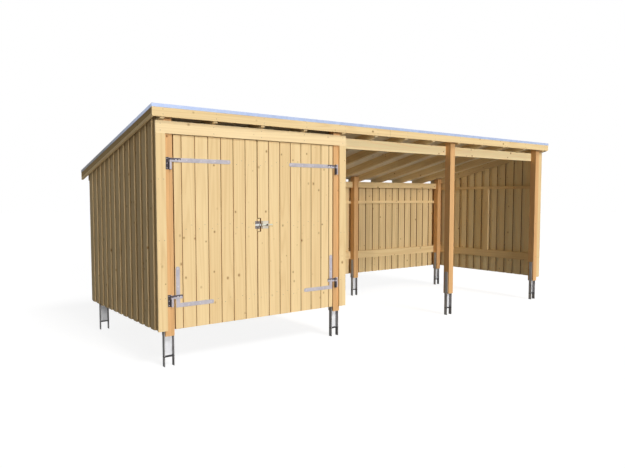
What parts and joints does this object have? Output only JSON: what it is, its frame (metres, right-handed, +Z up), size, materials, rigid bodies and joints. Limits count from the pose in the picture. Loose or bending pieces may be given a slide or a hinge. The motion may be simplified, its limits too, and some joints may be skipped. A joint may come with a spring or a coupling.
{
  "type": "open-front garden shed",
  "caption": "Long timber garden shed with a mono-pitch roof, a closed room with a double door at one end and an open-front store beside it.",
  "frame": {"origin": "on the ground line at the anchors' lower ends, under the middle of the roof", "axes": "+X along the front to the right as seen from the front, +Y from the front to the back, +Z up"},
  "size_m": [6.5, 2.313, 2.481],
  "materials": {
    "post_wood": "planed laminated pressure-treated pine",
    "board_wood": "planed untreated spruce with small knots",
    "roof_felt": "mineral-faced bitumen felt",
    "edge_metal": "folded sheet, satin",
    "anchor_steel": "hot-dip galvanised",
    "fitting_steel": "bright galvanised"
  },
  "bodies": {
    "root": {"front_post_1": "post_wood", "rear_post_1": "post_wood", "front_post_2": "post_wood", "rear_post_2": "post_wood", "front_post_3": "post_wood", "rear_post_3": "post_wood", "front_post_4": "post_wood", "rear_post_4": "post_wood", "front_anchor_1": "anchor_steel", "rear_anchor_1": "anchor_steel", "front_anchor_2": "anchor_steel", "rear_anchor_2": "anchor_steel", "front_anchor_3": "anchor_steel", "rear_anchor_3": "anchor_steel", "front_anchor_4": "anchor_steel", "rear_anchor_4": "anchor_steel", "front_beam": "board_wood", "rear_beam": "board_wood", "rafters": "board_wood", "roof_deck": "board_wood", "front_fascia": "board_wood", "barge_boards": "board_wood", "door_header": "board_wood", "door_side_trims": "board_wood", "right_wall_end_board": "board_wood", "left_wall_cladding": "board_wood", "right_wall_cladding": "board_wood", "rear_wall_cladding": "board_wood", "partition_cladding": "board_wood", "side_wall_rails": "board_wood", "rear_wall_rails": "board_wood", "wall_studs": "board_wood", "roofing": "roof_felt", "edge_capping": "edge_metal", "hinge_gudgeons": "fitting_steel"},
    "left_door": {"left_door_boards": "board_wood", "left_door_ledges": "board_wood", "left_door_braces": "board_wood", "left_door_hinges": "fitting_steel", "latch_keeper": "fitting_steel"},
    "right_door": {"right_door_boards": "board_wood", "right_door_ledges": "board_wood", "right_door_braces": "board_wood", "right_door_hinges": "fitting_steel", "latch_case": "fitting_steel"},
    "latch_bolt": {"latch_bolt": "fitting_steel"}
  },
  "joints": [
    {"name": "left_door_hinge", "type": "hinge", "parent": "root", "child": "left_door", "pos_m": [-3.054, -1.0985, 0.67], "axis": [0, 0, -1], "range_deg": [0, 110]},
    {"name": "right_door_hinge", "type": "hinge", "parent": "root", "child": "right_door", "pos_m": [-1.046, -1.0985, 0.67], "axis": [0, 0, 1], "range_deg": [0, 110]},
    {"name": "latch_bolt_slide", "type": "slide", "parent": "right_door", "child": "latch_bolt", "axis": [-1, 0, 0], "range_m": [0, 0.04]}
  ]
}
